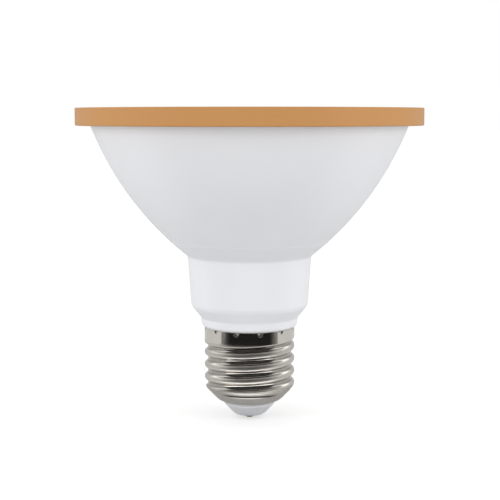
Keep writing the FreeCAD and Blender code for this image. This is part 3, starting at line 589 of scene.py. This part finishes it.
# %% Build the tip
turned("pale_insulator_cone", [
    (1.05, 1.1, 0), (3.7, 1.1, 0.2), (4.4, 1.35, 0.3), (5.0, 1.85, 0.3), (7.5, 4.5, 0.3), (7.0, 4.95, 0.1),
    (8.7, 6.3, 0.2), (9.7, 7.4, 0.3), (1.05, 7.4, 0)], pale, "insulator_pale", "cap_insulator")
contact_metal = plated("contact_plating", (0.70, 0.66, 0.58, 1.0), rough=0.22)
turned("contact_button", [
    # the crimp ring and the dome
    (0, 0.12, 0), (0.5, 0.12, 0), (0.6, 0.0, 0), (0.85, 0.0, 0.06), (1.3, 0.42, 0.15), (2.6, 0.78, 0.4),
    # the edge, the back and the nail
    (3.3, 1.02, 0.08), (3.3, 1.1, 0), (1.0, 1.1, 0), (1.0, 8.6, 0.2), (0, 8.6, 0)],
    contact_metal, "contact_plated", "centre_contact", closed=False, steps=96)

# %% [markdown]
# ## Lens and reflector
# The clear disc is polycarbonate. Behind it a moulded cup with a bright coating
# spreads the light: rows of nearly flat facets on a parabola. The cup is spun with as
# few steps as it has facets, each facet is inset and lifted a little, and it is
# shaded flat, so that every facet shows its own piece of the room.

# %% Build the lens
clear, shader, place = finish("clear_polycarbonate", (0.97, 0.98, 0.98, 1), 0.03, fixed={
    "Transmission Weight": 1.0, "IOR": 1.52})
feed(0.02 + noise(place, 9.0) * 0.03, shader, "Roughness")
turned("clear_lens", [
    (0, 87.6, 0), (46.3, 87.6, 0.3), (46.3, 89.4, 0.3), (43.6, 89.4, 0.2), (43.3, 89.3, 0.2), (0, 89.3, 0)],
    clear, "lens_clear", "lens", closed=False)

# %% Build the reflector
FACETS = 36
ROWS = 10
THROAT, MOUTH = 9.2, 41.6
FLOOR, TOP = 58.2, 87.5
FACET_BORDER, FACET_LIFT = 0.16, 0.10
CUP_WALL = 0.8


def cup_height(radius):
    return FLOOR + (TOP - FLOOR) * (radius ** 2 - THROAT ** 2) / (MOUTH ** 2 - THROAT ** 2)


bright = plated("bright_coating", (0.90, 0.90, 0.91, 1.0), rough=0.07, grain=0.6, depth=0.0004)
mesh = bmesh.new()
radii = [THROAT + (MOUTH - THROAT) * index / ROWS for index in range(ROWS + 1)]
draw(mesh, [(radius, cup_height(radius)) for radius in radii])
turn(mesh, FACETS)
away_from_axis = sum(face.normal.dot(Vector((*face.calc_center_median().xy, 0))) for face in mesh.faces)
if away_from_axis > 0:
    bmesh.ops.reverse_faces(mesh, faces=mesh.faces[:])
bmesh.ops.inset_individual(mesh, faces=mesh.faces[:], thickness=FACET_BORDER * MM, depth=FACET_LIFT * MM)
cup = piece("bright_reflector", mesh, bright, "reflector_bright", "reflector", smooth=1.0, weighted=False)
add_wall(cup, CUP_WALL)
turned("reflector_flange", [(41.5, 87.0, 0), (43.0, 87.0, 0.1), (43.0, TOP, 0.12), (41.5, TOP, 0)],
       bright, "reflector_bright", steps=144)

# %% [markdown]
# ## The light source
# A yellow disc of phosphor gel stands in a low dam on an aluminium plate. It swells a
# little in the middle. Its faint glow is painted light, which makes up for the light
# the lens keeps from it. A white holder with a flared window presses the plate down.

# %% Build the phosphor disc
# The emission is painted light: a faint yellow glow on a part that is no lamp.
phosphor = moulded("phosphor_gel", srgb(232, 196, 62), rough=0.32, grain=0.25, depth=0.006, cloud=0.06, fixed={
    "Emission Color": srgb(236, 202, 74), "Emission Strength": 0.32})
turned("phosphor_disc", [
    (0, 56.3, 0), (7.0, 56.3, 0), (7.0, 56.75, 0.2), (6.5, 56.8, 0.15), (6.2, 56.62, 0.1), (3.5, 56.82, 0.8),
    (0, 56.88, 0)], phosphor, "phosphor_yellow", "cob_phosphor", closed=False, steps=96)

# %% [markdown]
# ## The pieces inside
# The driver board and its parts, the leads and the heat sink keep their CAD shapes.
# They are hidden in the finished lamp and show as soon as someone opens it in another
# program, so each gets a finish of its own.

# %% Finishes of the CAD pieces
inner_finishes = {
    "heat_sink": plated("cast_aluminium", (0.62, 0.63, 0.65, 1.0), rough=0.42, grain=0.4, depth=0.006),
    "cob_substrate": plated("plate_aluminium", (0.78, 0.78, 0.80, 1.0), rough=0.3, grain=0.2),
    "holder_screws": plated("screw_steel", (0.55, 0.55, 0.57, 1.0), rough=0.25, grain=0.2),
    "cob_holder": moulded("holder_white", srgb(236, 236, 232), rough=0.4),
    "driver_cover": moulded("cover_white", srgb(228, 229, 228), rough=0.45),
    "lens_gasket": moulded("gasket_silicone", srgb(226, 226, 224), rough=0.55, grain=0.3),
    "thermal_pad": moulded("pad_grey", srgb(120, 124, 130), rough=0.8, grain=0.2, depth=0.02),
    "driver_board": moulded("board_green", srgb(38, 92, 58), rough=0.35, grain=0.2, cloud=0.12),
    "bridge_rectifier": moulded("chip_black", srgb(28, 28, 30), rough=0.5, grain=0.15),
    "film_capacitor": moulded("film_yellow", srgb(205, 160, 40), rough=0.35, cloud=0.05),
    "bulk_capacitor": moulded("can_sleeve", srgb(24, 26, 32), rough=0.3, grain=0.8),
    "transformer_core": moulded("ferrite", srgb(52, 50, 50), rough=0.6, grain=0.12, depth=0.01),
    "transformer_bobbin": moulded("bobbin_black", srgb(22, 22, 22), rough=0.45),
    "transformer_winding": moulded("winding_tape", srgb(214, 172, 60), rough=0.3, grain=0.6, cloud=0.08),
    "fusible_resistor": moulded("resistor_grey", srgb(122, 128, 136), rough=0.5, grain=0.2),
    "varistor": moulded("varistor_blue", srgb(30, 74, 140), rough=0.35, cloud=0.08),
    "neutral_wire": moulded("wire_black", srgb(20, 20, 20), rough=0.45),
    "live_wire": moulded("wire_red", srgb(170, 28, 24), rough=0.45),
}
same_finish = {
    "driver_ic": "bridge_rectifier", "output_diode": "bridge_rectifier", "output_capacitor": "bulk_capacitor",
    "line_choke": "transformer_core", "led_wire_positive": "live_wire", "led_wire_negative": "neutral_wire"}
for name, like in same_finish.items():
    inner_finishes[name] = inner_finishes[like]
for name, material in inner_finishes.items():
    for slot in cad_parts[name].material_slots:
        slot.material = material
print("dressed CAD pieces:", len(inner_finishes))

# %% [markdown]
# ## The floor
# The floor is an ordinary grey surface, so it shows the lamp's shadow. A little glow
# is added where the camera or the clear lens looks at it, and there it is white.
# Light Path tells what kind of ray asks, so the glow puts no more light on the lamp.

# %% Floor
FLOOR_HALF = 6.0


def path(tree, kind):
    return Socket(tree).node("ShaderNodeLightPath", output=kind)


paper, shader, _ = finish("white_paper", (0.62, 0.62, 0.62, 1), 0.9, fixed={"Specular IOR Level": 0.0})
tree = paper.node_tree
seen = path(tree, "Is Camera Ray") + path(tree, "Is Transmission Ray")
glow = Socket(tree).node("ShaderNodeEmission", inputs={
    "Color": (1, 1, 1, 1), "Strength": seen * 0.50 + path(tree, "Is Glossy Ray") * 0.08})
both = Socket(tree).node("ShaderNodeAddShader", inputs={0: Socket(tree, shader.outputs[0]), 1: glow})
feed(both, tree.nodes["Material Output"], "Surface")
mesh = bmesh.new()
bmesh.ops.create_grid(mesh, x_segments=1, y_segments=1, size=FLOOR_HALF)
floor = add_mesh("floor", mesh, paper)
floor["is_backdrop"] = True
print("floor ready")

# %% [markdown]
# ## The sky
# The camera sees a white sky, and a plain one lights the lamp. A mirror, though, is
# only as good as the room it shows. So the plating and the bright cup see a room with
# grey walls, light where the walls meet the ceiling, a grey ceiling with one light
# patch, and a dark side towards the camera. What is seen through the lens has a room
# of its own, with a narrower dark side, since the cup would mirror too much of it.

# %% What the sky is made of
PLAIN = 0.88
WALL = 0.56
CEILING = 0.26
CEILING_EDGE = (0.66, 0.76)
LIGHT_EDGE = (0.40, 0.60)
LIGHT_EDGE_GAIN = 0.9
PATCH_HALF_WIDTH = (0.24, 0.30)
PATCH_HALF_DEPTH = (0.09, 0.14)
PATCH_GAIN = 0.74
INDOOR_LIGHT = 1.3

world = bpy.data.worlds.new("sky")
scene.world = world
world.use_nodes = True
tree = world.node_tree
way = Socket(tree).node("ShaderNodeTexCoord", output="Generated")
beside, ahead, climb = way.axes()


def between(mask, low, high):
    """Low where mask is 0 and high where it is 1."""
    return low * (1 - mask) + high * mask


def walls(dark, darkening):
    """Grey walls with a light upper edge, both darker where `dark` is 1."""
    return WALL - dark * darkening + climb.step(*LIGHT_EDGE) * (1 - dark) * LIGHT_EDGE_GAIN


patch = (1 - abs(beside).step(*PATCH_HALF_WIDTH)) * (1 - abs(ahead).step(*PATCH_HALF_DEPTH))
ceiling = CEILING + patch * PATCH_GAIN
high = climb.step(*CEILING_EDGE)
print("ceiling and walls ready")

# %% Which ray sees what
MIRROR_FRONT, MIRROR_DARKENING = (-0.50, -0.22), 0.50
LENS_FRONT, LENS_DARKENING = (-0.74, -0.50), 0.53
ZENITH = (0.91, 0.95)
JUST_OVER_ONE = 1.0001

level_part = (JUST_OVER_ONE - climb * climb).square_root()
front = 1 - (ahead / level_part).step(*MIRROR_FRONT)
open_ceiling = high * (1 - front * (1 - climb.step(*ZENITH)))
in_mirror = between(open_ceiling, walls(front, MIRROR_DARKENING), ceiling)
low_front = 1 - ahead.step(*LENS_FRONT)
in_lens = between(high, walls(low_front, LENS_DARKENING), ceiling)
in_lens = between(path(tree, "Diffuse Depth").step(0, 1), in_lens, INDOOR_LIGHT)
strength = between(path(tree, "Is Camera Ray"), PLAIN, 1.0)
strength = between(path(tree, "Is Glossy Ray"), strength, in_mirror)
strength = between(path(tree, "Is Transmission Ray"), strength, in_lens)
sky = tree.nodes["Background"]
sky.inputs["Color"].default_value = (1, 1, 1, 1)
feed(strength, sky, "Strength")
print("sky ready")

# %% [markdown]
# ## Two cards for the plated base
# A shiny cylinder shows the room as a narrow strip. In a white room it would vanish,
# so a photographer lays a dark card in front of it, and the middle of the base turns
# dark while its sides stay light. A narrow white card close to the lamp gives the
# thin bright lines on the crests. Only reflections see these cards.

# %% Dark card
CARD_SIDE = [(0.020, -0.022), (0.080, -0.025), (0.13, -0.040), (0.75, -0.20), (0.75, -0.60)]
CARD_BLACK = (0.012, 0.012, 0.011, 1)
CARD_GREY = (0.42, 0.42, 0.40, 1)
RING_INNER, RING_OUTER = (42 * MM, 52 * MM), (112 * MM, 122 * MM)
SIDE_FADE = (1.1, 2.4)


def lay_card(name, corners, height, material):
    """A flat card on the floor that only reflections see."""
    mesh = bmesh.new()
    mesh.faces.new([mesh.verts.new((x, y, height)) for x, y in corners])
    made = add_mesh(name, mesh, material)
    made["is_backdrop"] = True
    made.visible_camera = False
    made.visible_diffuse = False
    made.visible_shadow = False
    made.visible_transmission = False


black, shader, place = finish("black_card", CARD_BLACK, 1.0, fixed={"Specular IOR Level": 0.0})
away = place.length()
across, along, _ = place.axes()
aside = abs(across) / abs(along)
mottle = noise(place, 18.0, detail=5.0).step(0.35, 0.65)
grey_ring = away.step(*RING_INNER) * (1 - away.step(*RING_OUTER)) * 0.10
lighter = grey_ring + aside.step(*SIDE_FADE) * (0.25 + mottle * 0.5)
feed(blend_colours(lighter, CARD_BLACK, CARD_GREY), shader, "Base Color")
lay_card("dark_card", CARD_SIDE + [(-x, y) for x, y in reversed(CARD_SIDE)], 0.0004, black)
print("dark card ready")

# %% White card
glowing, _, _ = finish("white_card", (0, 0, 0, 1), 0.5, fixed={
    "Emission Color": (1, 1, 1, 1), "Emission Strength": 3.0})
corners = [(-0.030, -0.0215), (0.030, -0.0215), (0.034, -0.0150), (-0.034, -0.0150)]
lay_card("white_card", corners, 0.0006, glowing)
print("white card ready")

# %% [markdown]
# ## Soft boxes
# Two large soft boxes, low at the left and the right, shape the bowl: its sides are
# light and its middle is a little darker. The plating doesn't mirror them.

# %% Soft boxes
BOX_ASIDE, BOX_FRONT, BOX_UP = 0.95, 0.55, 0.10
BOX_WIDTH, BOX_TALL = 0.5, 0.9
BOX_WATTS = 6.6
LAMP_MIDDLE = (0, 0, 0.05)

for name, side in (("left_box", -1), ("right_box", 1)):
    light = bpy.data.lights.new(name, "AREA")
    light.shape = "RECTANGLE"
    light.size, light.size_y = BOX_WIDTH, BOX_TALL
    light.energy = BOX_WATTS
    box = add_object(name, light)
    box.location = (side * BOX_ASIDE, -BOX_FRONT, BOX_UP)
    look_at(box, LAMP_MIDDLE)
    box.visible_glossy = False
    print(name, "watts:", light.energy)

# %% [markdown]
# ## Finish
# The box of the dressed lamp is kept beside the CAD's box, because the dressed lamp
# must not grow out of it.

# %% Keep the sizes and finish
scene.view_settings.view_transform = "Standard"
low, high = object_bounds()
print("grown by mm:", [round(value * 1000, 2) for value in (*(cad_low - low), *(high - cad_high))])
